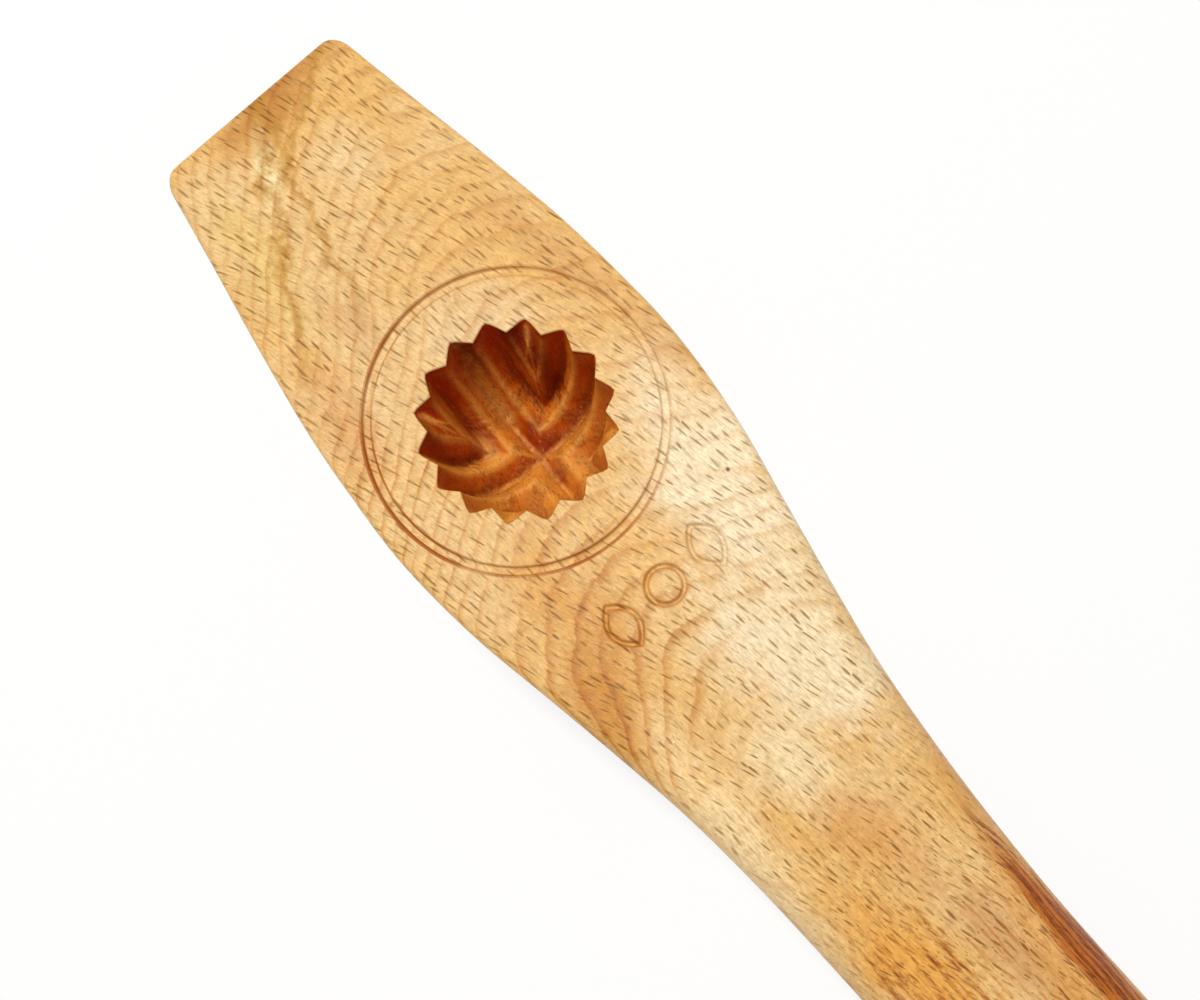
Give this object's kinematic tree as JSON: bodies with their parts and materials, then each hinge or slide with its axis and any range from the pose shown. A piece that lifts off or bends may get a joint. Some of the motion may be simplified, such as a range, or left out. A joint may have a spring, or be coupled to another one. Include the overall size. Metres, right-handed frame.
{
  "type": "maamoul mold",
  "caption": "Flat wooden paddle with a fluted star-rimmed cavity carved in its face, an engraved ring around the cavity and a rounded grip, for pressing filled dough.",
  "frame": {"origin": "under the middle of the paddle's box, on its flat back, which lies on the surface", "axes": "+X from the grip to the blade's tip, +Y across the blade, +Z out of the carved face"},
  "size_m": [0.25, 0.056, 0.026],
  "materials": {
    "beech": "sanded and oiled beech, semi-gloss, darker in the carved cavity"
  },
  "bodies": {
    "root": {"mold_paddle": "beech"}
  },
  "joints": []
}
